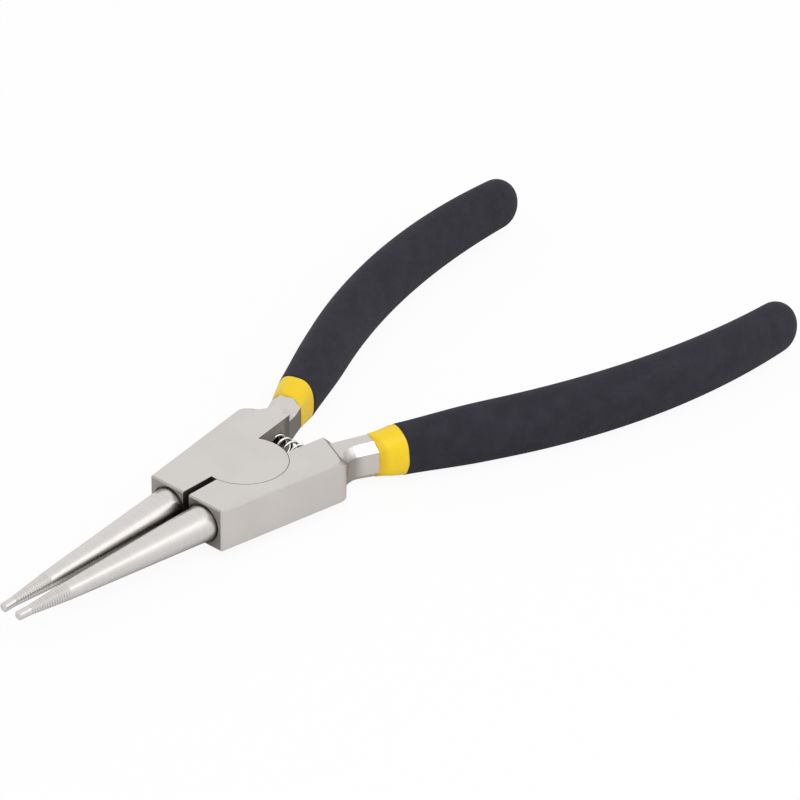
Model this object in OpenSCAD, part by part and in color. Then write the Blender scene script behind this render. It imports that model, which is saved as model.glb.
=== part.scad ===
// External circlip pliers, straight jaws, sprung open at the handles.
// Two identical forged levers lap at a flush rivet. Each one keeps to its own side of the pivot,
// so squeezing the handles spreads the jaws. Millimetres, +X towards the handles, +Z up.
// The origin is on the pivot axis, at the underside of the head.

/* [Head] */
// Thickness of the head over both half-laps
head_thickness = 9; // [8.4:0.1:10]
// Distance from the pivot to the front face
head_front = 15.9; // [14:0.1:18]
// Half-width of the head at the front face
front_half_width = 9.2; // [8.6:0.1:10]
// Angle at which the sides open out towards the handles
side_angle = 9.3; // [6:0.1:12]
// Radius on the rear corner of the head
corner_radius = 2.3; // [1:0.1:2.6]
// Width of the edge bevels of the head
edge_bevel = 0.28; // [0.2:0.02:0.4]
// Width of the bevel where the underside of the head ends at the neck
rear_bevel = 1.6; // [0.8:0.1:2]
// Slot between the two heads in front of the lap
jaw_slot = 1.5; // [1.2:0.1:2.2]

/* [Lap joint] */
// Radius of the half-lap disc
lap_radius = 8.3; // [7.6:0.1:9]
// Gap round the rim of the disc
lap_rim_gap = 0.12; // [0.08:0.01:0.25]
// Gap between the two lap faces
lap_face_gap = 0.06; // [0.04:0.01:0.15]
// Diameter of the rivet shank
rivet_diameter = 5; // [4:0.1:6]
// Diameter of the countersunk rivet ends
rivet_head_diameter = 7.4; // [6.6:0.1:8.4]
// Running clearance of the rivet in the lever that turns on it
rivet_clearance = 0.04; // [0.02:0.01:0.09]

/* [Jaws] */
// Length of a jaw from the front face to its end
jaw_length = 45.3; // [38:0.1:52]
// Diameter of a jaw at the front face
jaw_base_diameter = 7.2; // [6.6:0.1:7.4]
// Diameter of a jaw where its grip rings start
ring_diameter = 3.4; // [2.8:0.1:4]
// Diameter of the plain pin at the end of a jaw
tip_diameter = 1.8; // [1.5:0.1:2.4]
// Length of the plain pin
tip_length = 2.2; // [2:0.1:4]
// Gap between the two pins at rest
tip_gap = 2; // [1.6:0.1:3]
// Distance of a jaw from the middle of the front face, towards the slot
jaw_offset = 0.6; // [0:0.05:0.7]
// Width of the ring cut round the foot of a jaw
foot_relief_width = 0.35; // [0.3:0.01:0.4]
// Depth of the ring cut round the foot of a jaw
foot_relief_depth = 0.3; // [0.2:0.05:0.6]
// Number of grip rings behind the pin
grip_rings = 16; // [6:1:18]
// Spacing of the grip rings
grip_ring_pitch = 0.55; // [0.5:0.05:0.8]
// Depth of the grip rings
grip_ring_depth = 0.16; // [0.08:0.01:0.2]

/* [Return spring] */
// Distance from the pivot to the axis of the spring
spring_reach = 14; // [13:0.1:15]
// Outside diameter of the spring
spring_diameter = 4; // [3.4:0.1:4.6]
// Wire diameter
spring_wire = 0.55; // [0.4:0.05:0.7]
// Working turns between the closed ends
spring_turns = 7; // [5:1:9]
// Depth of the blind holes that hold the spring
spring_pocket_depth = 2.4; // [1.6:0.1:3]
// Clearance round the spring in its holes
spring_clearance = 0.15; // [0.1:0.05:0.3]
// Half-distance between the inner faces, taken at the pivot
inner_face_half = 2.5; // [2:0.1:3]
// Angle of each inner face to the centre line
inner_face_angle = 8.8; // [6:0.1:11]

/* [Handles] */
// Distance of the neck root from the pivot, along the centre line
neck_root_x = 16.6; // [16:0.1:18]
// Distance of the neck root from the centre line
neck_root_y = 8; // [7.2:0.05:8.6]
// Angle of the neck to the centre line
neck_angle = 24.8; // [22:0.1:28]
// Straight length behind the neck root
straight_length = 35.2; // [30:0.1:42]
// Radius of the bow of the handle
bow_radius = 154; // [130:1:200]
// Length of the handle along its middle, from the neck root to the end of the grip
handle_length = 108.1; // [95:0.1:125]
// Half-width of the neck
neck_half_width = 2.95; // [2.7:0.05:3.4]
// Half-height of the neck
neck_half_height = 3.65; // [3.3:0.05:3.9]
// Half-width of the bar at its end
bar_end_half_width = 2.7; // [2.3:0.05:3.2]
// Half-height of the bar at its end
bar_end_half_height = 3.65; // [3:0.05:4]
// Extra half-width of the bar at its middle
bar_swell_width = 0.45; // [0:0.05:1]
// Extra half-height of the bar at its middle
bar_swell_height = 1.05; // [0.4:0.05:1.6]
// Bevel along the corners of the bar
bar_bevel = 1.6; // [1.2:0.1:1.9]
// Length of the hollow where the neck runs into the head
flare_length = 4; // [2.4:0.1:5]
// Extra width on the outer side of the neck, at the head
flare_width = 2.4; // [1:0.1:2.6]

/* [Dipped grips] */
// Distance from the neck root to the edge of the first coat
collar_front = 7.2; // [6.5:0.1:9]
// Length of the first coat that stays in view
collar_length = 5.7; // [4:0.1:8]
// Slope of the front edge of both coats across the handle
edge_slope = 0.14; // [0:0.02:0.4]
// Thickness of the first coat
collar_coat = 0.95; // [0.7:0.05:1.3]
// Thickness of the first coat at its edge
collar_edge = 0.3; // [0.2:0.05:0.5]
// Thickness of the second coat
grip_coat = 0.75; // [0.6:0.05:1.4]
// Thickness of the second coat at its edge
grip_edge = 0.3; // [0.2:0.05:0.5]
// Thickness of the first coat past the end of the bar
collar_end_wall = 3; // [2.5:0.1:4]
// Thickness of the second coat past the end of the first
grip_end_wall = 3; // [2:0.1:5]

/* [Hidden] */
$fn = 64;

steel = "#c9c6c1";
spring_steel = "#b9b9b9";
yellow_vinyl = "#f0c92c";
black_vinyl = "#2e2e36";

half_thickness = head_thickness / 2;
lap_face = lap_face_gap / 2;
// Reach of the cutting shapes, past everything that they cut
beyond = head_front + jaw_length;

// Middle line of a handle: a straight neck, then one arc
neck_root = [neck_root_x, neck_root_y];
function along(angle) = [cos(angle), sin(angle)];
function across(angle) = [-sin(angle), cos(angle)];
function bow_turn(s) = max(0, s - straight_length) / bow_radius * 180 / PI;
function handle_angle(s) = neck_angle - bow_turn(s);
function handle_point(s) =
    neck_root
    + min(s, straight_length) * along(neck_angle)
    + bow_radius * (across(handle_angle(s)) - across(neck_angle));

// Plan of the head: sides open at side_angle, the rear face is square to the neck
function side_y(x) = front_half_width + (x + head_front) * tan(side_angle);
function inner_y(x) = inner_face_half + x * tan(inner_face_angle);
rear_run = (side_y(neck_root_x) - neck_root_y)
         / (cos(neck_angle) + sin(neck_angle) * tan(side_angle));
rear_corner = neck_root + rear_run * across(neck_angle);
corner_turn = 90 + side_angle - neck_angle;
corner_centre = rear_corner
              - corner_radius / cos(corner_turn / 2) * along(neck_angle + corner_turn / 2);
corner_steps = 6;
inner_run = (neck_root_y - inner_y(neck_root_x))
          / (cos(neck_angle) + sin(neck_angle) * tan(inner_face_angle));
inner_corner = neck_root - inner_run * across(neck_angle);

// Jaw axis, from the front face to the end of its pin
tip_radius = tip_diameter / 2;
jaw_foot = [-head_front, (jaw_slot / 2 + front_half_width) / 2 - jaw_offset];
jaw_inset = jaw_foot.y - tip_gap / 2 - tip_radius;
jaw_angle = atan2(jaw_inset, jaw_length);
jaw_axis_length = norm([jaw_length, jaw_inset]);
front_room = min(half_thickness, front_half_width - jaw_foot.y) - edge_bevel / 4;
foot_relief_radius = min(jaw_base_diameter / 2 + foot_relief_width, front_room);

// Return spring: the blind holes run along Y, one in each inner face
spring_seat = inner_y(spring_reach) + spring_pocket_depth;
spring_pocket_radius = spring_diameter / 2 + spring_clearance;
spring_coil_radius = (spring_diameter - spring_wire) / 2;
spring_half_length = spring_seat - spring_clearance / 2;
spring_end_turns = 1;

// Stations along the handle, and the size of the bar and its coats there
collar_end_s = handle_length - grip_end_wall;
bar_end_s = collar_end_s - collar_end_wall;
grip_front = collar_front + collar_length;
bar_start_s = -neck_root_x / 2;
coat_lip = 0.9;
body_stations = 13;
cap_stations = 5;
collar_steps = 3;
flare_steps = 6;
cap_length = 5;
sides = 24;
corners = 8;
collar_power = 2.5;
grip_power = 2.05;

function bar_share(s) = max(0, s) / handle_length;
function blend(a, b, t) = a + (b - a) * t;
function hump(t) = 4 * t * (1 - t);
function ease(t) = let (u = min(1, max(0, t))) u * u * (3 - 2 * u);
function bar_half_width(s) =
    blend(neck_half_width, bar_end_half_width, bar_share(s)) + bar_swell_width * hump(bar_share(s));
function bar_half_height(s) =
    blend(neck_half_height, bar_end_half_height, bar_share(s)) + bar_swell_height * hump(bar_share(s));

// At the head the outer side of the neck hollows outwards and its upper side slopes up.
// The other two sides run on straight, so the underside meets the head in a step.
function flare_left(s) = 1 - min(1, max(0, s) / flare_length);
function outer_flare(s) = flare_width * (1 - sqrt(1 - pow(flare_left(s), 2)));
function top_rise(s) = (half_thickness - lap_face - bar_half_height(s)) * ease(flare_left(s));

function collar_thickness(s) =
    blend(collar_edge, collar_coat, ease((s - collar_front) / collar_length));
function grip_thickness(s) =
    blend(grip_edge, grip_coat, ease((s - grip_front) / (3 * collar_length)));

// The eight corners of the bar's section, then the points between them
function bar_corner(w, h, i) =
    let (
        q = floor(i / 2),
        near_side = i % 2 == 0,
        wide = [w, h - bar_bevel],
        tall = [w - bar_bevel, h],
        sx = q == 0 || q == 3 ? 1 : -1,
        sy = q < 2 ? 1 : -1,
        first_wide = q == 0 || q == 2
    )
    let (p = near_side == first_wide ? wide : tall) [sx * p.x, sy * p.y];
function bar_section_point(w, h, k) =
    let (step = sides / corners, i = floor(k / step), t = (k % step) / step)
    blend(bar_corner(w, h, i), bar_corner(w, h, (i + 1) % corners), t);
// A coat is a rounded shell over the bar, in the same directions from the middle
function round_radius(w, h, power, angle) =
    pow(pow(abs(cos(angle)) / w, power) + pow(abs(sin(angle)) / h, power), -1 / power);
function coat_point(s, coat, power, k) =
    let (
        w = bar_half_width(s),
        h = bar_half_height(s),
        p = bar_section_point(w, h, k),
        angle = atan2(p.y, p.x),
        reach = max(norm(p) + coat / 2, round_radius(w + coat, h + coat, power, angle))
    )
    reach * along(angle);
function placed(s, p) =
    let (c = handle_point(s), n = across(handle_angle(s)))
    [c.x + n.x * p.x, c.y + n.y * p.x, p.y];

// The front edges of the coats slope a little, as the handles lean when they are dipped
function dip_tilt(s) =
    edge_slope * (1 - ease((s - grip_front) / (straight_length - grip_front)));
function dipped(s, p) = s + p.x * dip_tilt(s);

// Rings of the bar, of the same bar inside its coat, and of the coats with their domed ends
function bar_point(s, k) =
    let (p = bar_section_point(bar_half_width(s), bar_half_height(s), k))
    [p.x + (p.x > 0 ? outer_flare(s) : 0), p.y + (p.y > 0 ? top_rise(s) : 0)];
function bar_ring(s) =
    [for (k = [0 : sides / corners : sides - 1]) placed(s, bar_point(s, k))];
function coated_bar_ring(s) =
    [for (k = [0 : sides - 1])
        let (t = dipped(s, bar_point(s, k)))
        placed(t, bar_point(t, k))];
function coat_ring(s, coat, power, end) =
    let (d = dome(s, end - cap_length, end))
    [for (k = [0 : sides - 1])
        let (t = dipped(s, coat_point(s, coat, power, k)))
        placed(t, d * coat_point(t, coat, power, k))];
function collar_ring(s) = coat_ring(s, collar_thickness(s), collar_power, collar_end_s);
function grip_ring(s) =
    coat_ring(s, collar_thickness(s) + grip_thickness(s), grip_power, handle_length);
function body_stops(from, to) =
    [for (i = [0 : body_stations]) blend(from, to, i / body_stations)];
function cap_stops(from, to) =
    [for (i = [1 : cap_stations]) blend(from, to, sin(86 * i / cap_stations))];
function dome(s, from, to) =
    s <= from ? 1 : sqrt(max(0, 1 - pow((s - from) / (to - from), 2)));

function flat(rings) = [for (ring = rings) for (p = ring) p];
function side_faces(first, rings, count, turned) =
    [for (r = [0 : rings - 2]) for (k = [0 : count - 1])
        let (
            a = first + r * count + k,
            b = first + r * count + (k + 1) % count,
            quad = [a, b, b + count, a + count]
        )
        each turned ? [[quad[0], quad[1], quad[2]], [quad[0], quad[2], quad[3]]]
                    : [[quad[0], quad[2], quad[1]], [quad[0], quad[3], quad[2]]]];
function fan_faces(first, count, middle, turned) =
    [for (k = [0 : count - 1])
        let (n = (k + 1) % count)
        turned ? [first + n, first + k, middle] : [first + k, first + n, middle]];
function middle_of(ring) = [for (p = ring) 1] * ring / len(ring);
function rim_faces(outer, inner, count) =
    [for (k = [0 : count - 1])
        let (n = (k + 1) % count)
        each [[outer + k, outer + n, inner + n], [outer + k, inner + n, inner + k]]];

// A closed solid through a list of rings
module loft(rings) {
    count = len(rings[0]);
    last = len(rings) - 1;
    middle = len(rings) * count;
    polyhedron(
        concat(flat(rings), [middle_of(rings[0]), middle_of(rings[last])]),
        concat(
            side_faces(0, len(rings), count, false),
            fan_faces(0, count, middle, false),
            fan_faces(last * count, count, middle + 1, true)));
}

// A cup: an outer list of rings, an inner one, and a flat rim where both start
module cup(outer, inner) {
    count = len(outer[0]);
    first_inner = len(outer) * count;
    middle = first_inner + len(inner) * count;
    polyhedron(
        concat(
            flat(outer),
            flat(inner),
            [middle_of(outer[len(outer) - 1]), middle_of(inner[len(inner) - 1])]),
        concat(
            side_faces(0, len(outer), count, false),
            side_faces(first_inner, len(inner), count, true),
            fan_faces(first_inner - count, count, middle, true),
            fan_faces(middle - count, count, middle + 1, false),
            rim_faces(0, first_inner, count)));
}

bar_stops = concat(
    [bar_start_s],
    [for (i = [0 : flare_steps]) flare_length * (1 - cos(90 * i / flare_steps))],
    [collar_front],
    body_stops(grip_front, bar_end_s));
collar_body_end = collar_end_s - cap_length;
collar_stops = concat(
    [for (i = [0 : collar_steps - 1]) collar_front + collar_length * i / collar_steps],
    body_stops(grip_front, collar_body_end),
    cap_stops(collar_body_end, collar_end_s));
grip_body_end = handle_length - cap_length;
grip_stops = concat(
    [grip_front, grip_front + coat_lip],
    [for (s = body_stops(grip_front, grip_body_end)) if (s > grip_front + coat_lip) s],
    cap_stops(grip_body_end, handle_length));

// Levers
inner_front = [-head_front, jaw_slot / 2];
outer_front = [-head_front, front_half_width];
corner_arc = [for (i = [0 : corner_steps])
    corner_centre + corner_radius * along(90 + side_angle - corner_turn * i / corner_steps)];

// The bevel round the rear corner grows towards the neck on the underside only
function corner_bevel(t, face) = face > 0 ? edge_bevel : blend(edge_bevel, rear_bevel, t);

module head_plan() {
    polygon(concat(
        [inner_front, outer_front],
        corner_arc,
        [inner_corner,
         [lap_radius / 2, inner_y(lap_radius / 2)],
         [-lap_radius / 2, jaw_slot / 2]]));
}

// Takes a bevel of the given width off the edge from a to b, at the upper face (1) or the underside (-1)
module bevel_cut(a, b, width, face) {
    d = b - a;
    side = width * sqrt(2);
    translate([(a.x + b.x) / 2, (a.y + b.y) / 2, face * half_thickness]) rotate([0, 0, atan2(d.y, d.x)])
        rotate([45, 0, 0]) cube([norm(d) + beyond, side, side], center = true);
}

module corner_post_cut(p) {
    side = edge_bevel * sqrt(2);
    translate([p.x, p.y, 0]) rotate([0, 0, 45 + side_angle / 2])
        cube([side, side, 2 * beyond], center = true);
}

module head_block() {
    difference() {
        translate([0, 0, -half_thickness]) linear_extrude(head_thickness) head_plan();
        corner_post_cut(outer_front);
        for (face = [-1, 1]) {
            bevel_cut(inner_front, outer_front, edge_bevel, face);
            bevel_cut(outer_front, corner_arc[0], edge_bevel, face);
            for (i = [1 : corner_steps])
                bevel_cut(corner_arc[i - 1], corner_arc[i], corner_bevel(i / corner_steps, face), face);
        }
        bevel_cut(corner_arc[corner_steps], inner_corner, rear_bevel, -1);
        translate([jaw_foot.x, jaw_foot.y, 0]) rotate([0, 90, 0])
            cylinder(r = foot_relief_radius, h = 2 * foot_relief_depth, center = true);
    }
}

// Profile of a jaw: foot, cone, grip rings and the plain pin
module jaw_profile() {
    base_radius = jaw_base_diameter / 2;
    ring_radius = ring_diameter / 2;
    cone_end = jaw_axis_length - tip_length;
    rings_end = cone_end - grip_ring_pitch;
    rings_start = rings_end - grip_rings * grip_ring_pitch;
    sunk = 2 * foot_relief_depth;
    function cone_radius(y) =
        y < rings_start ? blend(base_radius, ring_radius, y / rings_start)
                        : blend(ring_radius, tip_radius, (y - rings_start) / (cone_end - rings_start));
    rings = [for (i = [2 * grip_rings : -1 : 0])
        let (y = rings_end - i * grip_ring_pitch / 2)
        [cone_radius(y) - (i % 2 == 1 ? grip_ring_depth : 0), y]];
    polygon(concat(
        [[0, -sunk], [cone_radius(-sunk), -sunk]],
        rings,
        [[tip_radius, cone_end], [tip_radius, jaw_axis_length - tip_radius / 3],
         [tip_radius * 2 / 3, jaw_axis_length], [0, jaw_axis_length]]));
}

module jaw() {
    translate([jaw_foot.x, jaw_foot.y, 0]) rotate([0, -90, jaw_angle])
        rotate_extrude() jaw_profile();
}

// The bar of the handle, with its inner side cut flat in line with the inner face of the head
module bar() {
    difference() {
        loft([for (s = bar_stops) bar_ring(s)]);
        translate([0, inner_y(0), 0]) rotate([0, 0, inner_face_angle])
            translate([-beyond, -beyond, -beyond]) cube([3 * beyond, beyond, 2 * beyond]);
    }
}

module lap_recess() {
    translate([0, 0, -beyond]) cylinder(r = lap_radius + lap_rim_gap, h = beyond + lap_face);
}

module spring_pocket() {
    translate([spring_reach, 0, 0]) rotate([-90, 0, 0])
        cylinder(r = spring_pocket_radius, h = spring_seat);
}

module rivet_profile(clearance) {
    shank = rivet_diameter / 2 + clearance;
    head = rivet_head_diameter / 2 + clearance;
    polygon([
        [0, -half_thickness], [head, -half_thickness],
        [shank, -half_thickness + head - shank], [shank, half_thickness - head + shank],
        [head, half_thickness], [0, half_thickness]]);
}

// One forging, on the +Y side, with its lap disc uppermost
module lever(clearance) {
    color(steel) difference() {
        union() {
            head_block();
            bar();
            translate([0, 0, lap_face]) cylinder(r = lap_radius, h = half_thickness - lap_face);
            jaw();
        }
        lap_recess();
        spring_pocket();
        rotate_extrude() rivet_profile(clearance);
    }
}

module on_base() {
    translate([0, 0, half_thickness]) children();
}

module flipped() {
    on_base() rotate([180, 0, 0]) children();
}

module left_lever() {
    on_base() lever(0);
}

module right_lever() {
    flipped() lever(rivet_clearance);
}

module pivot_rivet() {
    color(steel) on_base() rotate_extrude() rivet_profile(0);
}

// Return spring, closed at both ends
module return_spring() {
    wire_radius = spring_wire / 2;
    turns = spring_turns + 2 * spring_end_turns;
    closed_pitch = spring_wire * 1.04;
    length = 2 * (spring_half_length - wire_radius);
    open_pitch = (length - 2 * spring_end_turns * closed_pitch) / spring_turns;
    per_turn = 16;
    wire_sides = 8;
    function run(t) =
        min(t, spring_end_turns) * closed_pitch
        + min(spring_turns, max(0, t - spring_end_turns)) * open_pitch
        + max(0, t - spring_end_turns - spring_turns) * closed_pitch;
    function coil_ring(t) =
        let (angle = 360 * t, out = [cos(angle), sin(angle)])
        [for (k = [0 : wire_sides - 1])
            let (
                turn = 360 * k / wire_sides,
                r = spring_coil_radius + wire_radius * cos(turn),
                y = run(t) - length / 2 + wire_radius * sin(turn)
            )
            [spring_reach + r * out.x, y, r * out.y]];
    color(spring_steel) on_base()
        loft([for (i = [0 : turns * per_turn]) coil_ring(i / per_turn)]);
}

// Dipped grips: a first coat over the bar, and a second over the first
module collar() {
    color(yellow_vinyl) cup(
        [for (s = collar_stops) collar_ring(s)],
        concat(
            [for (i = [0 : collar_steps - 1]) coated_bar_ring(collar_stops[i])],
            [for (s = body_stops(grip_front, bar_end_s)) coated_bar_ring(s)]));
}

module grip() {
    color(black_vinyl) cup(
        [for (s = grip_stops) grip_ring(s)],
        concat(
            [for (s = body_stops(grip_front, collar_body_end)) collar_ring(s)],
            [for (s = cap_stops(collar_body_end, collar_end_s)) collar_ring(s)]));
}

module left_collar() {
    on_base() collar();
}

module right_collar() {
    flipped() collar();
}

module left_grip() {
    on_base() grip();
}

module right_grip() {
    flipped() grip();
}

left_lever();
right_lever();
pivot_rivet();
return_spring();
left_collar();
right_collar();
left_grip();
right_grip();
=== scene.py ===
# %% [markdown]
# # Circlip pliers: the looks
#
# These pliers open an external retaining ring: squeezing the handles spreads two thin round jaws. The two
# steel levers, their rivet and the joint between them come from the construction model, which is loaded
# here as a fixed frame. This lesson gives every part its finish. It also makes the dipped handle coats and
# the wire spring again, because soft vinyl and round wire need far more faces than a construction needs.

import math

import bpy
from mathutils import Matrix, Vector


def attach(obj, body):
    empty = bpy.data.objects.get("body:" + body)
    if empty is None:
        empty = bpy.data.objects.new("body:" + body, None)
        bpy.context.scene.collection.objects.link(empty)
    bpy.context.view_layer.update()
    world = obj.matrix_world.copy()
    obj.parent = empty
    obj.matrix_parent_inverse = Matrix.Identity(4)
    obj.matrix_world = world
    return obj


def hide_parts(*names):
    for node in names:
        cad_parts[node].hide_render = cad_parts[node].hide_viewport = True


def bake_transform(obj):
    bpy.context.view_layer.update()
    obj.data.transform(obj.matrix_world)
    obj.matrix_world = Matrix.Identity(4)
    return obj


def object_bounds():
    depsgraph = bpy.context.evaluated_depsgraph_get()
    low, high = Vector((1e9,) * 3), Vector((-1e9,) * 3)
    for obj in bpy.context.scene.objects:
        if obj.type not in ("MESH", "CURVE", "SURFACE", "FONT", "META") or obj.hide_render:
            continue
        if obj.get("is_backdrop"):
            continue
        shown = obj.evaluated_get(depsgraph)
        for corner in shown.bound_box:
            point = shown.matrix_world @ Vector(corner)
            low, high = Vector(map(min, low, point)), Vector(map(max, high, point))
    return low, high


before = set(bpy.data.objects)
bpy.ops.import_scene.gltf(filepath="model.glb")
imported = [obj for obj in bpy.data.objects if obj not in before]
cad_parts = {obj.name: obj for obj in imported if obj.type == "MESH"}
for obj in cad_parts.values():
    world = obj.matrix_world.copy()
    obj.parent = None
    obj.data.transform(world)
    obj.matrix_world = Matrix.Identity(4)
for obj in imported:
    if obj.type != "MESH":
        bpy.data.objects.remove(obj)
cad_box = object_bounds()
scene = bpy.context.scene
scene.view_settings.view_transform = "Standard"
print("CAD nodes:", ", ".join(sorted(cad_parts)))

# %% [markdown]
# ## The camera
#
# The pliers lie flat and are seen from in front of the jaws and a little to one side, from well above.
# Parallel edges stay almost parallel in such a catalogue picture, as a long lens shows them from far away.
# The three angles and the point in the middle of the picture say all there is to say about the view, so the
# camera's matrix is worked out from them, and nothing has to be turned by hand.

# %% Camera
MM = 0.001
IMAGE_PIXELS = 800
FOCAL_PIXELS = 4626
CAMERA_DISTANCE = 900 * MM
MIDDLE_OF_PICTURE = Vector((42.69, -0.88, 3.95)) * MM
AZIMUTH = math.radians(-48.46)
ELEVATION = math.radians(31.24)
ROLL = math.radians(1.07)


def direction(azimuth, elevation):
    """The unit vector towards a place in the studio. Azimuth 0 is towards -Y, and 90 towards +X."""
    level = math.cos(elevation)
    return Vector((math.sin(azimuth) * level, -math.cos(azimuth) * level, math.sin(elevation)))


def facing(backward, roll=0.0):
    """The rotation of a camera or lamp that looks along -backward, with its top side up."""
    right = Vector((0, 0, 1)).cross(backward).normalized()
    upward = backward.cross(right)
    axes = Matrix((right, upward, backward)).transposed()
    return axes @ Matrix.Rotation(roll, 3, "Z")


towards_camera = direction(AZIMUTH, ELEVATION)
lens = bpy.data.cameras.new("camera")
lens.sensor_width = 36
lens.lens = lens.sensor_width * FOCAL_PIXELS / IMAGE_PIXELS
camera = bpy.data.objects.new("camera", lens)
scene.collection.objects.link(camera)
camera_place = Matrix.Translation(MIDDLE_OF_PICTURE + CAMERA_DISTANCE * towards_camera)
camera.matrix_world = camera_place @ facing(towards_camera, ROLL).to_4x4()
scene.camera = camera
print(f"camera: {lens.lens:.0f} mm lens at {CAMERA_DISTANCE:.2f} m")

# %% [markdown]
# ## Shader maths as Python
#
# A finish is a small graph of nodes. Written out node by node, a formula such as 1 - mask takes many lines.
# The class below wraps one socket, so that a formula on sockets is written as any other formula, and each
# operator adds the Math node that it stands for. Every other node comes from one method, add().

# %% A socket with operators


class Shade:
    """One output socket of a node tree, or the bare tree to start from."""

    def __init__(self, tree, socket=None):
        self.tree = tree
        self.socket = socket

    def add(self, kind, settings=None, inputs=None, output=0):
        """Adds a node, sets it up, gives its sockets values or links, and returns one of its outputs."""
        node = self.tree.nodes.new(kind)
        for name, value in (settings or {}).items():
            setattr(node, name, value)
        for name, value in (inputs or {}).items():
            if isinstance(value, Shade):
                self.tree.links.new(value.socket, node.inputs[name])
            else:
                node.inputs[name].default_value = value
        return Shade(self.tree, node.outputs[output] if node.outputs else None)

    def other(self, output):
        """Another output of the same node."""
        return Shade(self.tree, self.socket.node.outputs[output])

    def math(self, operation, first, second=0.0):
        return self.add("ShaderNodeMath", {"operation": operation}, {0: first, 1: second})

    def __add__(self, value):
        return self.math("ADD", self, value)

    __radd__ = __add__

    def __sub__(self, value):
        return self.math("SUBTRACT", self, value)

    def __rsub__(self, value):
        return self.math("SUBTRACT", value, self)

    def __mul__(self, value):
        return self.math("MULTIPLY", self, value)

    __rmul__ = __mul__

    def sign(self):
        return self.math("SIGN", self)

    def step(self, low, high):
        """0 below low, 1 above high, and a smooth rise between them. With low above high, it falls."""
        return self.add("ShaderNodeMapRange", {"interpolation_type": "SMOOTHSTEP"},
                        {"Value": self, "From Min": low, "From Max": high})

    def parts(self):
        """The X, Y and Z of a place or of a normal."""
        split = self.add("ShaderNodeSeparateXYZ", None, {0: self})
        return split, split.other("Y"), split.other("Z")

    def stretched(self, factors):
        """A place with each of its coordinates multiplied, to draw a pattern out along an axis."""
        return self.add("ShaderNodeVectorMath", {"operation": "MULTIPLY"}, {0: self, 1: factors})

    def noise(self, scale, detail=2.0, rough=0.5):
        """Cloudy noise round 0.5 at this place, with about scale clouds in a metre."""
        return self.add("ShaderNodeTexNoise", None,
                        {"Vector": self, "Scale": scale, "Detail": detail, "Roughness": rough})

    def tint(self, first, second):
        """The first colour where this value is 0, and the second where it is 1."""
        return self.add("ShaderNodeMix", {"data_type": "RGBA"}, {0: self, 6: first, 7: second}, output=2)


print("a socket can:", ", ".join(name for name in vars(Shade) if not name.startswith("__")))

# %% [markdown]
# Every finish here starts in the same way: a material with its Principled shader, and the place of each
# point. What stays the same over the whole surface is set on the shader's own sockets. What varies is
# linked to them.

# %% A material to fill in


def rgb(red, green, blue):
    return (red, green, blue, 1.0)


def new_finish(name, constants):
    """A material with these constants on its shader, and the place of a point in the part's own frame."""
    material = bpy.data.materials.new(name)
    material.use_nodes = True
    shader = material.node_tree.nodes["Principled BSDF"]
    for socket, value in constants.items():
        shader.inputs[socket].default_value = value
    return material, Shade(material.node_tree).add("ShaderNodeTexCoord", output="Object")


def feed(material, values):
    """Links values to the sockets of the material's shader."""
    shader = material.node_tree.nodes["Principled BSDF"]
    for socket, value in values.items():
        material.node_tree.links.new(value.socket, shader.inputs[socket])


def bumps(height, distance):
    """The normal of a surface that stands out by height times distance, in metres."""
    return height.add("ShaderNodeBump", None, {"Height": height, "Distance": distance}, output="Normal")


print("helpers for a finish:", ", ".join(helper.__name__ for helper in (rgb, new_finish, feed, bumps)))

# %% [markdown]
# ## Floor, background and light
#
# A catalogue picture has a white ground with hardly any shadow. Lighting a floor until it turns white would
# bleach the object too. So the floor is simply shown as white to the camera, and the world to the camera
# and to the rays that metal sends out, while the light that falls on the object stays at a plain level. A
# small share of the floor's look is still its lit surface, which keeps a soft shadow. Metal sees nothing
# but that lit surface, because the dark shadow under a tool is what gives its lower edges their shape.

# %% World and floor
SKY_LIGHT = 0.78
FLOOR_WHITE = 0.93
FLOOR_SIZE = 4.0
PAPER = rgb(0.9, 0.9, 0.9)

world = bpy.data.worlds.new("white_studio")
scene.world = world
world.use_nodes = True
world.node_tree.nodes.clear()
sky = Shade(world.node_tree)
to_camera = sky.add("ShaderNodeLightPath", output="Is Camera Ray")
seen = to_camera + to_camera.other("Is Glossy Ray") + to_camera.other("Is Transmission Ray")
sky_strength = SKY_LIGHT + (1 - SKY_LIGHT) * seen
sky_shader = sky.add("ShaderNodeBackground", None, {"Color": rgb(1, 1, 1), "Strength": sky_strength})
sky.add("ShaderNodeOutputWorld", None, {"Surface": sky_shader})

floor_mesh = bpy.data.meshes.new("floor")
half = FLOOR_SIZE / 2
floor_z = cad_box[0][2]
floor_mesh.from_pydata(
    [(-half, -half, floor_z), (half, -half, floor_z), (half, half, floor_z), (-half, half, floor_z)],
    [], [(0, 1, 2, 3)])
floor = bpy.data.objects.new("floor", floor_mesh)
scene.collection.objects.link(floor)
floor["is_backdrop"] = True

paper = bpy.data.materials.new("white_paper")
paper.use_nodes = True
paper.node_tree.nodes.clear()
sheet = Shade(paper.node_tree)
lit = sheet.add("ShaderNodeBsdfDiffuse", None, {"Color": PAPER})
white = sheet.add("ShaderNodeEmission", None, {"Color": rgb(1, 1, 1), "Strength": 1.0})
to_camera = sheet.add("ShaderNodeLightPath", output="Is Camera Ray")
paper_shader = sheet.add("ShaderNodeMixShader", None, {0: FLOOR_WHITE * to_camera, 1: lit, 2: white})
sheet.add("ShaderNodeOutputMaterial", None, {"Surface": paper_shader})
floor_mesh.materials.append(paper)
print(f"floor at z = {floor_z / MM:.2f} mm")

# %% [markdown]
# Steel has hardly a colour of its own: it shows its surroundings. In an all-white room it would look like
# grey paper, so two softboxes are brighter than the room. The tall one lights the bevels of the necks, and
# the one at the side draws the long bright streak down the round jaws.

# %% Softboxes


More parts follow.
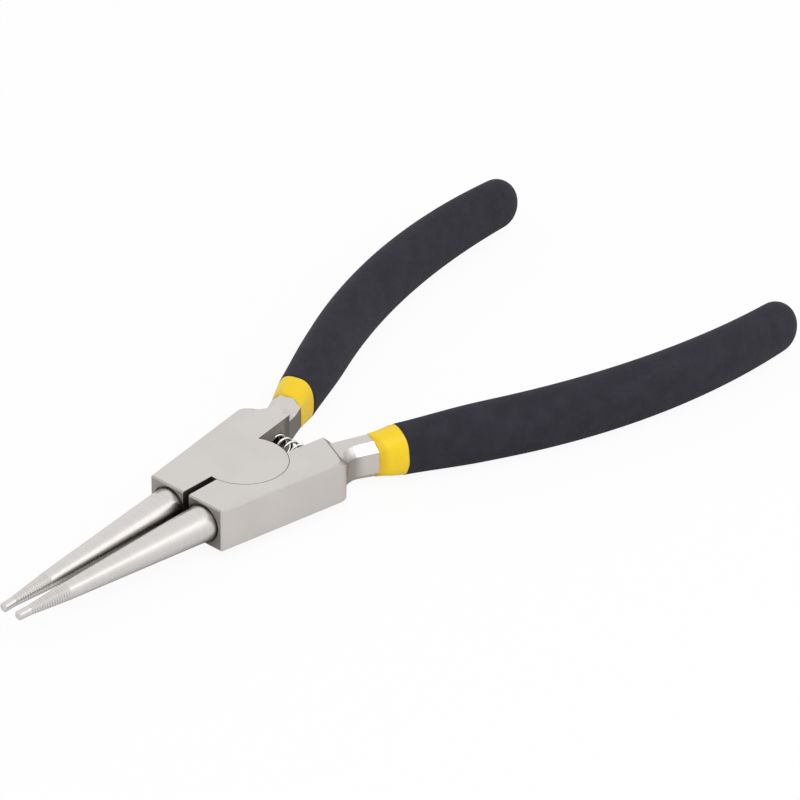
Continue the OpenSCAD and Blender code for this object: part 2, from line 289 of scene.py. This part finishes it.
def softbox(name, azimuth, elevation, distance, width, height, watts):
    """An area lamp that looks at the head from a place in the studio."""
    lamp = bpy.data.lights.new(name, "AREA")
    lamp.shape = "RECTANGLE"
    lamp.size = width
    lamp.size_y = height
    lamp.energy = watts
    towards = direction(math.radians(azimuth), math.radians(elevation))
    box = bpy.data.objects.new(name, lamp)
    box.matrix_world = Matrix.Translation(distance * towards) @ facing(towards).to_4x4()
    scene.collection.objects.link(box)
    return box


softbox("tall_softbox", azimuth=-4, elevation=54, distance=0.8, width=0.36, height=0.45, watts=1.5)
softbox("side_softbox", azimuth=45, elevation=30, distance=0.8, width=0.5, height=0.5, watts=0.45)

# %% [markdown]
# ## Nickel-plated steel
#
# Each lever is forged, cut with a mill, ground flat on both faces and then plated all over with a satin
# nickel. The work still shows through the plating. There are straight grinding lines on the flats and
# turning lines round the jaws. The faces that a cutter went through are rougher, and they are painted
# darker, partly as their own duller look and partly as painted shade. The edges are rougher from tumbling
# and painted darker as painted shade over their highlight. The hollow behind the head and the undersides of
# the jaws are painted dark as painted shade.
#
# One material covers both levers. It finds out which kind of face it is on from the place and the normal of
# each point, because the levers are single solids with no seams to paint along.

# %% Kinds of face on a lever
JAW_FOOT_X = -15.9 * MM
RINGS_X = -50 * MM
HEAD_REAR_X = 14.8 * MM
NECK_X = 16.5 * MM
HOLLOW_END_X = 20 * MM
HOLLOW_Y = 12 * MM


def kinds_of_face(place):
    """A mask for each kind of face on a lever, which is 1 there and 0 elsewhere.

    The facing values are cosines: 1 where a face looks along the axis, and 0 where it lies along it.
    """
    x, y, _ = place.parts()
    facing_x, facing_y, facing_z = place.other("Normal").parts()
    from_middle = y * y.sign()
    facing_middle = -1.0 * facing_y * y.sign()
    jaw = x.step(JAW_FOOT_X + 0.1 * MM, JAW_FOOT_X - 0.3 * MM)
    off_jaw = 1 - jaw
    inner = facing_middle.step(0.8, 0.92) * off_jaw
    neck = x.step(NECK_X, NECK_X + 2 * MM) * (1 - inner)
    behind_head = x.step(HEAD_REAR_X - 1 * MM, HEAD_REAR_X) * x.step(HOLLOW_END_X, HOLLOW_END_X - 3 * MM)
    rear_bevel = facing_x.step(0.4, 0.55) * facing_z.step(0.4, 0.55) * off_jaw
    return {
        "jaw": jaw,
        "jaw_underside": jaw * facing_z.step(0.0, -0.95),
        "behind_rings": x.step(RINGS_X, RINGS_X + 4 * MM),
        "front": facing_x.step(-0.9, -0.97) * off_jaw,
        "inner": inner,
        "inner_neck": inner * x.step(NECK_X - 1 * MM, NECK_X + 0.5 * MM),
        "neck": neck,
        "edge": facing_z.step(0.5, 0.6) * facing_z.step(0.9, 0.8) * (1 - neck) * off_jaw,
        "hollow": behind_head * from_middle.step(HOLLOW_Y - 1 * MM, HOLLOW_Y) + rear_bevel}


print(f"along x, the jaws start at {JAW_FOOT_X / MM:.1f} mm and the necks at {NECK_X / MM:.1f} mm")

# %% [markdown]
# The colour is built up in layers, from the plain ground face to the painted shade in the creases. The last
# layer paints shade into corners, where the Ambient Occlusion node finds how open each point is. The grip
# rings at the tips are left out of that painted shade.

# %% Steel finish
NICKEL = rgb(0.65, 0.62, 0.597)
NICKEL_SHADE = rgb(0.625, 0.596, 0.573)
TURNED = rgb(0.68, 0.655, 0.635)
TURNED_SHADE = rgb(0.645, 0.62, 0.60)
# Painted shade: the undersides of the jaws are painted darker, where they look down at the floor's shadow.
JAW_UNDERSIDE_PAINTED_SHADE = rgb(0.40, 0.385, 0.37)
# Painted shade: the edges are painted darker than the flats, over the highlight that their bevels would
# show.
EDGE_PAINTED_SHADE = rgb(0.46, 0.445, 0.43)
# Faces cut by a mill: partly their own duller grey, and partly painted shade on the inner faces and the
# fronts of the heads.
MILLED_AND_PAINTED_SHADE = rgb(0.33, 0.305, 0.285)
# Painted shade in the hollow behind the head and along its rear bevel.
HOLLOW_PAINTED_SHADE = rgb(0.26, 0.245, 0.23)
# Painted shade for the inner faces by the necks and for the corners that the Ambient Occlusion node finds.
CREASE_PAINTED_SHADE = rgb(0.16, 0.15, 0.14)


def steel_finish():
    """Satin nickel over all the kinds of face that a lever has, with painted shade on its edges, hollows and
    creases.
    """
    material, place = new_finish("satin_nickel", {"Metallic": 1.0})
    on = kinds_of_face(place)
    milled_and_shaded = on["inner"] + on["front"]
    clouds = place.noise(90, detail=3)
    turning = place.stretched((1, 0.05, 0.05)).noise(3000, detail=2)
    openness = place.add("ShaderNodeAmbientOcclusion", {"samples": 8}, {"Distance": 3 * MM}, output="AO")

    colour = clouds.step(0.35, 0.65).tint(NICKEL, NICKEL_SHADE)
    # Painted shade on the edges; their roughness below is the real dulling from tumbling.
    colour = on["edge"].tint(colour, EDGE_PAINTED_SHADE)
    colour = on["jaw"].tint(colour, turning.step(0.35, 0.65).tint(TURNED_SHADE, TURNED))
    # From here on the layers paint shade: jaw undersides, faces cut by a mill (partly), the hollow, inner
    # necks, corners.
    colour = on["jaw_underside"].tint(colour, JAW_UNDERSIDE_PAINTED_SHADE)
    colour = milled_and_shaded.tint(colour, MILLED_AND_PAINTED_SHADE)
    colour = (0.8 * on["hollow"]).tint(colour, HOLLOW_PAINTED_SHADE)
    colour = (0.8 * on["inner_neck"]).tint(colour, CREASE_PAINTED_SHADE)
    colour = (openness.step(0.9, 0.3) * on["behind_rings"]).tint(colour, CREASE_PAINTED_SHADE)

    grinding = place.stretched((0.06, 1, 1)).noise(9000, detail=2)
    lines = grinding + on["jaw"] * (turning - grinding)
    smudges = place.noise(260, detail=4, rough=0.6) - 0.5
    dullness = 0.12 * milled_and_shaded + 0.2 * on["edge"] - 0.08 * on["jaw"] - 0.12 * on["neck"]
    rough = 0.36 + 0.1 * smudges + dullness
    feed(material, {"Base Color": colour, "Roughness": rough, "Normal": bumps(lines, 0.004 * MM)})
    return material


def wear_finish(part, material):
    """Gives a part this finish in place of all others."""
    part.data.materials.clear()
    part.data.materials.append(material)


steel = steel_finish()
for lever in ("left_lever", "right_lever"):
    wear_finish(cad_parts[lever], steel)
print("steel on both levers,", len(steel.node_tree.nodes), "nodes")

# %% [markdown]
# ## The rivet
#
# The rivet's two heads are set in countersinks and ground off flush with the faces of the head, after which
# the whole joint is plated. So the rivet hardly shows, and its finish is the levers' own, but its lines run
# in circles, because a rivet head is peened and dressed with a turning tool.

# %% Rivet finish
LINE_PITCH = 0.1496 * MM


def rivet_finish():
    """The levers' nickel with lines in circles round the pivot."""
    material, place = new_finish("dressed_rivet", {"Metallic": 1.0})
    clouds = place.noise(90, detail=3)
    flat = place.stretched((1, 1, 0))
    from_axis = flat.add("ShaderNodeVectorMath", {"operation": "LENGTH"}, {0: flat}, output="Value")
    rings = from_axis.math("SINE", from_axis * (2 * math.pi / LINE_PITCH))
    feed(material, {
        "Base Color": clouds.step(0.35, 0.65).tint(NICKEL, NICKEL_SHADE),
        "Roughness": 0.36 + 0.1 * (place.noise(260, detail=4) - 0.5),
        "Normal": bumps(rings, 0.001 * MM)})
    return material


wear_finish(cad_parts["pivot_rivet"], rivet_finish())
print("rivet finished")

# %% [markdown]
# ## The dipped handles
#
# The handles are dipped twice in liquid vinyl, hanging upright from the jaws: first in yellow, up to a line
# just behind the head, and then in charcoal, a little less deep. So there are two thin skins, each with a
# soft front edge and a round drop at the end. The edges slope a little across the handles, because the
# handles lean outwards while the surface of the vinyl in the tank is level.
#
# A dip coat could be made by a Solidify modifier on the bar. A sweep along the handle is better here,
# because the coat rounds off the bar's eight corners and its thickness grows from the edge. The formulas
# are those of the construction model, with many more points.

# %% The handle's line
MIDDLE_Z = 4.5 * MM
NECK_ROOT = Vector((16.6, 8.0)) * MM
NECK_ANGLE = math.radians(24.8)
STRAIGHT_LENGTH = 35.2 * MM
BOW_RADIUS = 154 * MM
HANDLE_LENGTH = 108.1 * MM


def ease(t):
    """0 up to t = 0, 1 from t = 1 on, and a smooth rise between them."""
    t = min(1.0, max(0.0, t))
    return t * t * (3 - 2 * t)


def blend(first, second, t):
    """The first value at t = 0, the second at t = 1."""
    return first + (second - first) * t


def along(angle):
    """The unit vector at this angle from the X axis."""
    return Vector((math.cos(angle), math.sin(angle)))


def across(angle):
    """The unit vector at right angles to along(angle), on its left."""
    return Vector((-math.sin(angle), math.cos(angle)))


def handle_angle(s):
    return NECK_ANGLE - max(0.0, s - STRAIGHT_LENGTH) / BOW_RADIUS


def handle_point(s):
    """The middle of the left handle, a distance s behind its root: straight at first, and then bowed."""
    straight = NECK_ROOT + min(s, STRAIGHT_LENGTH) * along(NECK_ANGLE)
    return straight + BOW_RADIUS * (across(handle_angle(s)) - across(NECK_ANGLE))


handle_end = handle_point(HANDLE_LENGTH) / MM
print(f"the left handle ends at x = {handle_end.x:.1f}, y = {handle_end.y:.1f} mm")

# %% [markdown]
# The steel bar inside has a flat-sided section with eight corners. Its reach in any direction is the
# nearest of three pairs of lines: the sides, the top and bottom, and the bevels. A coat's reach is an oval
# round it, and where a corner of the bar would come through, the coat follows the corner.

# %% Reach of the bar and of its coats
NECK_HALF_WIDTH = 2.95 * MM
BAR_END_HALF_WIDTH = 2.7 * MM
BAR_SWELL_WIDTH = 0.45 * MM
BAR_HALF_HEIGHT = 3.65 * MM
BAR_SWELL_HEIGHT = 1.05 * MM
BAR_BEVEL = 1.6 * MM
COLLAR_FRONT = 7.2 * MM
COLLAR_LENGTH = 5.7 * MM
COLLAR_EDGE = 0.3 * MM
COLLAR_COAT = 0.95 * MM
GRIP_FRONT = COLLAR_FRONT + COLLAR_LENGTH
GRIP_EDGE = 0.3 * MM
GRIP_COAT = 0.75 * MM
# An oval of power 2 is an ellipse, and a higher power makes it squarer.
COLLAR_POWER = 2.5
GRIP_POWER = 2.05
CORNER_SHARPNESS = 60
# Keeps the reach straight up and straight across from being divided by zero.
TINY = 1e-9
# The construction's coats have flat facets, and a round one must not bulge past them.
WITHIN_WIDTH = 0.967
WITHIN_HEIGHT = 0.988


def hump(t):
    """0 at both ends and 1 in the middle."""
    return 4 * t * (1 - t)


def bar_half_width(s):
    t = s / HANDLE_LENGTH
    return blend(NECK_HALF_WIDTH, BAR_END_HALF_WIDTH, t) + BAR_SWELL_WIDTH * hump(t)


def bar_half_height(s):
    return BAR_HALF_HEIGHT + BAR_SWELL_HEIGHT * hump(s / HANDLE_LENGTH)


def bar_reach(s, angle):
    """How far the bar's section reaches from its middle at this angle."""
    width, height = bar_half_width(s), bar_half_height(s)
    level = max(TINY, abs(math.cos(angle)))
    upright = max(TINY, abs(math.sin(angle)))
    return min(width / level, height / upright, (width + height - BAR_BEVEL) / (level + upright))


def oval_reach(width, height, power, angle):
    """The same for an oval with this half width and half height."""
    level = abs(math.cos(angle) / width)
    upright = abs(math.sin(angle) / height)
    return (level ** power + upright ** power) ** (-1 / power)


def coat_reach(s, angle, coat, power):
    """The larger of the oval and the covered bar, with a soft change from one to the other."""
    width = WITHIN_WIDTH * (bar_half_width(s) + coat)
    height = WITHIN_HEIGHT * (bar_half_height(s) + coat)
    oval = oval_reach(width, height, power, angle)
    covered = bar_reach(s, angle) + coat / 2
    return (oval ** CORNER_SHARPNESS + covered ** CORNER_SHARPNESS) ** (1 / CORNER_SHARPNESS)


def collar_coat(s):
    return blend(COLLAR_EDGE, COLLAR_COAT, ease((s - COLLAR_FRONT) / COLLAR_LENGTH))


def grip_coat(s):
    growth = ease((s - GRIP_FRONT) / (3 * COLLAR_LENGTH))
    return collar_coat(s) + blend(GRIP_EDGE, GRIP_COAT, growth)


def collar_reach(s, angle):
    return coat_reach(s, angle, collar_coat(s), COLLAR_POWER)


def grip_reach(s, angle):
    return coat_reach(s, angle, grip_coat(s), GRIP_POWER)


print(f"grip is {2 * grip_reach(0.5 * HANDLE_LENGTH, math.pi / 2) / MM:.1f} mm thick at its middle")

# %% [markdown]
# A ring of a coat is a closed loop of points. The slope of the front edge fades out along the straight
# stretch, and the rest of the rings are square to the handle. The edge also wanders by a tenth of a
# millimetre or two, as the meniscus of a liquid does, so that it doesn't look cut with a knife.
#
# A coat is a closed skin, as the real one is. Its rings run forward along the bar, turn over the lip at the
# front and come back along the outside to the domed end.

# %% Rings of a coat
RING_POINTS = 72
EDGE_SLOPE = 0.14
MENISCUS = 0.12 * MM
MENISCUS_FADE = 8 * MM
# A coat reaches a little into what it covers, so that no light shows between them.
OVERLAP = 0.05 * MM
LIP_LENGTH = 0.35 * MM
DOME_LENGTH = 5 * MM
END_WALL = 3 * MM
INNER_RINGS = 24
LIP_RINGS = 5
DOME_RINGS = 13


def dip_tilt(s):
    """How far a ring leans back along the handle, for each unit that a point lies outwards."""
    fade = ease((s - GRIP_FRONT) / (STRAIGHT_LENGTH - GRIP_FRONT))
    return EDGE_SLOPE * (1 - fade)


def meniscus(s, front, angle):
    """How far the vinyl's edge wanders from a level line, fading out behind the edge."""
    wander = math.sin(2 * angle + 0.6) + 0.6 * math.sin(3 * angle + 2.1) + 0.3 * math.sin(7 * angle)
    return MENISCUS * wander * (1 - ease((s - front) / MENISCUS_FADE))


def coat_ring(s, front, reach, dome=1.0):
    """The points of one ring of a coat on the left handle, with reach(s, angle) from the handle's line."""
    ring = []
    for k in range(RING_POINTS):
        angle = 2 * math.pi * k / RING_POINTS
        outward = reach(s, angle) * math.cos(angle)
        t = s + outward * dip_tilt(s) + meniscus(s, front, angle)
        r = dome * reach(t, angle)
        spot = handle_point(t) + r * math.cos(angle) * across(handle_angle(t))
        ring.append(Vector((spot.x, spot.y, r * math.sin(angle))))
    return ring


def lip_reach(inner, outer, share):
    """The reach of a loop on the front lip, at this share of the way from the inner surface to the outer."""
    return lambda s, angle: blend(inner(s, angle) - OVERLAP, outer(s, angle), share)


def coat_rings(front, end, inner, outer, body_rings):
    """The inner surface from its end to the front, a lip that rolls outwards, the body and the domed end."""
    inside = lip_reach(inner, outer, 0)
    inner_end = end - END_WALL
    rings = [coat_ring(blend(inner_end, front, i / INNER_RINGS), front, inside) for i in range(INNER_RINGS)]
    for i in range(LIP_RINGS):
        turn = 0.5 * math.pi * i / LIP_RINGS
        lip = lip_reach(inner, outer, math.sin(turn))
        rings.append(coat_ring(front + LIP_LENGTH * (1 - math.cos(turn)), front, lip))
    first, last = front + LIP_LENGTH, end - DOME_LENGTH
    rings += [coat_ring(blend(first, last, i / body_rings), front, outer) for i in range(body_rings)]
    for i in range(DOME_RINGS):
        turn = 0.5 * math.pi * i / DOME_RINGS
        rings.append(coat_ring(last + DOME_LENGTH * math.sin(turn), front, outer, math.cos(turn)))
    return rings


print("a coat has", INNER_RINGS, "rings inside,", LIP_RINGS, "on its lip and", DOME_RINGS, "on its dome")

# %% [markdown]
# The rings become a mesh by joining each one to the next with a band of four-sided faces. A fan of
# triangles closes each end. The right handle is the left one turned over, which is also how the real levers
# are made: they are the same forging.

# %% A piece from rings


def piece_from_rings(name, rings, side, tips):
    """A closed smooth mesh through rings, with a tip at each end. Side -1 is for the right handle."""
    points = [p for ring in rings for p in ring] + list(tips)
    count = len(rings[0])
    last = (len(rings) - 1) * count
    start_tip, end_tip = last + count, last + count + 1
    faces = []
    for k in range(count):
        following = (k + 1) % count
        faces.append((following, k, start_tip))
        faces.append((last + k, last + following, end_tip))
        for r in range(0, last, count):
            faces.append((r + k, r + following, r + following + count, r + k + count))
    mesh = bpy.data.meshes.new(name)
    mesh.from_pydata([(p.x, side * p.y, MIDDLE_Z + side * p.z) for p in points], [], faces)
    mesh.validate()
    mesh.polygons.foreach_set("use_smooth", [True] * len(mesh.polygons))
    piece = bpy.data.objects.new(name, mesh)
    scene.collection.objects.link(piece)
    return piece


def dipped_coat(name, side, front, end, inner, outer, body_rings):
    rings = coat_rings(front, end, inner, outer, body_rings)
    tips = [handle_point(s).to_3d() for s in (end - END_WALL, end)]
    return piece_from_rings(name, rings, side, tips)


SIDES = {"left": 1, "right": -1}
COLLAR_END = HANDLE_LENGTH - END_WALL
COLLAR_BODY_RINGS = 60
GRIP_BODY_RINGS = 150
coats = {}
for side, sign in SIDES.items():
    coats[side + "_first_coat"] = dipped_coat(
        side + "_first_coat", sign, COLLAR_FRONT, COLLAR_END, bar_reach, collar_reach, COLLAR_BODY_RINGS)
    coats[side + "_second_coat"] = dipped_coat(
        side + "_second_coat", sign, GRIP_FRONT, HANDLE_LENGTH, collar_reach, grip_reach, GRIP_BODY_RINGS)
for name, piece in coats.items():
    print(name, len(piece.data.polygons), "faces")

# %% [markdown]
# ## Vinyl
#
# The first coat dries smooth and rather shiny, with a faint orange peel. The yellow is deeper where the
# vinyl is thin, along the front edge. The second coat is a foamed vinyl: it dries matte, with a fine grain
# of tiny bubbles, and its charcoal has a trace of blue. Both need less mirror reflection than a plain
# plastic has, or the white studio would turn them pale, so their specular levels are set below the usual
# 0.5.

# %% Vinyl finishes
COLLAR_EDGE_X = 23.1 * MM
YELLOW = rgb(0.92, 0.63, 0.018)
YELLOW_LIGHT = rgb(0.95, 0.68, 0.022)
YELLOW_THIN = rgb(0.70, 0.40, 0.018)
CHARCOAL = rgb(0.0155, 0.0146, 0.0232)
CHARCOAL_LIGHT = rgb(0.023, 0.0213, 0.0315)


def yellow_vinyl():
    """Smooth semi-gloss vinyl, deeper in colour along its thin front edge."""
    material, place = new_finish("yellow_vinyl", {"Specular IOR Level": 0.24})
    x, _, _ = place.parts()
    thin = x.step(COLLAR_EDGE_X + 1.2 * MM, COLLAR_EDGE_X - 0.4 * MM)
    colour = place.noise(160, detail=3).step(0.3, 0.7).tint(YELLOW, YELLOW_LIGHT)
    peel = place.noise(900, detail=1)
    feed(material, {
        "Base Color": (0.5 * thin).tint(colour, YELLOW_THIN),
        "Roughness": 0.30 + 0.12 * place.noise(400, detail=3),
        "Normal": bumps(peel, 0.02 * MM)})
    return material


def charcoal_vinyl():
    """Matte foamed vinyl with a grain of tiny bubbles."""
    material, place = new_finish("charcoal_vinyl", {"Specular IOR Level": 0.33})
    bubbles = place.add("ShaderNodeTexVoronoi", {"feature": "F1"}, {"Vector": place, "Scale": 2600.0})
    grain = place.noise(1700, detail=4, rough=0.65) - 0.35 * bubbles.step(0.0, 0.5)
    mottle = place.noise(240, detail=4, rough=0.6).step(0.3, 0.7)
    feed(material, {
        "Base Color": mottle.tint(CHARCOAL, CHARCOAL_LIGHT),
        "Roughness": 0.72 + 0.16 * place.noise(900, detail=3),
        "Normal": bumps(grain, 0.09 * MM)})
    return material


finishes = {"first_coat": yellow_vinyl(), "second_coat": charcoal_vinyl()}
stands_for = {"first_coat": "collar", "second_coat": "grip"}
for side in SIDES:
    for coat, node in stands_for.items():
        piece = coats[f"{side}_{coat}"]
        wear_finish(piece, finishes[coat])
        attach(piece, side + "_half")
        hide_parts(f"{side}_{node}")
print("both coats ride on their levers")

# %% [markdown]
# ## The return spring
#
# A small coil spring sits in two blind holes between the handles and brings the jaws together again. It is
# wound from bright drawn wire, with one closed turn at each end. A curve with a round bevel would do, but
# here the wire is a mesh: a tube of rings round a coil.

# %% Wire of the spring
SPRING_X = 14 * MM
WIRE_RADIUS = 0.275 * MM
COIL_RADIUS = 1.725 * MM
CLOSED_PITCH = 2.08 * WIRE_RADIUS
SPRING_HALF_LENGTH = 6.99 * MM
OPEN_TURNS = 7
END_TURNS = 1
POINTS_PER_TURN = 32
WIRE_POINTS = 14


def spring_rings():
    """Rings of wire along a coil that is close at both ends and open between them."""
    turns = OPEN_TURNS + 2 * END_TURNS
    length = 2 * (SPRING_HALF_LENGTH - WIRE_RADIUS)
    open_pitch = (length - 2 * END_TURNS * CLOSED_PITCH) / OPEN_TURNS
    rings = []
    for i in range(turns * POINTS_PER_TURN + 1):
        t = i / POINTS_PER_TURN
        run = min(t, END_TURNS) * CLOSED_PITCH
        run += min(OPEN_TURNS, max(0, t - END_TURNS)) * open_pitch
        run += max(0, t - END_TURNS - OPEN_TURNS) * CLOSED_PITCH
        out = along(2 * math.pi * t)
        ring = []
        for k in range(WIRE_POINTS):
            round_wire = along(2 * math.pi * k / WIRE_POINTS) * WIRE_RADIUS
            r = COIL_RADIUS + round_wire.x
            ring.append(Vector((SPRING_X + r * out.x, run - length / 2 + round_wire.y, r * out.y)))
        rings.append(ring)
    return rings


def middle(ring):
    """The mean of a ring's points."""
    return sum(ring, Vector()) / len(ring)


wire = spring_rings()
spring = piece_from_rings("coil_spring", wire, 1, [middle(wire[0]), middle(wire[-1])])
print("spring:", len(spring.data.polygons), "faces")

# %% [markdown]
# Drawn wire is bright, but little light gets inside a coil. So the side of the wire that looks towards the
# spring's axis is painted dark, a painted shade, which is what makes the turns stand apart.

# %% Wire finish
WIRE_SHADE = rgb(0.74, 0.73, 0.72)
WIRE_BRIGHT = rgb(0.86, 0.85, 0.84)
# Painted shade on the side of the wire that faces the coil's axis.
WIRE_INSIDE_PAINTED_SHADE = rgb(0.06, 0.055, 0.05)


def wire_finish():
    """Bright drawn wire, with painted shade on the inside of the coil."""
    material, place = new_finish("bright_wire", {"Metallic": 1.0})
    x, _, z = place.parts()
    facing_x, _, facing_z = place.other("Normal").parts()
    outward = (x - SPRING_X) * facing_x + (z - MIDDLE_Z) * facing_z
    inside = outward.step(0.0, -0.5 * COIL_RADIUS)
    drawn = place.noise(3000, detail=3)
    bright = drawn.step(0.3, 0.7).tint(WIRE_SHADE, WIRE_BRIGHT)
    feed(material, {
        "Base Color": inside.tint(bright, WIRE_INSIDE_PAINTED_SHADE),
        "Roughness": 0.16 + 0.14 * drawn,
        "Normal": bumps(drawn, 0.003 * MM)})
    return material


wear_finish(spring, wire_finish())
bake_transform(spring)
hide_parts("return_spring")

# %% [markdown]
# ## Sizes
#
# The looks never change the size of the tool. The two boxes below, of the construction model and of what is
# shown, are printed side by side.

# %% The two boxes
boxes = {"cad": [list(corner) for corner in cad_box],
         "visual": [list(corner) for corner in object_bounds()]}
for name, (low, high) in boxes.items():
    print(name, "box in mm:", [round((b - a) / MM, 2) for a, b in zip(low, high)])
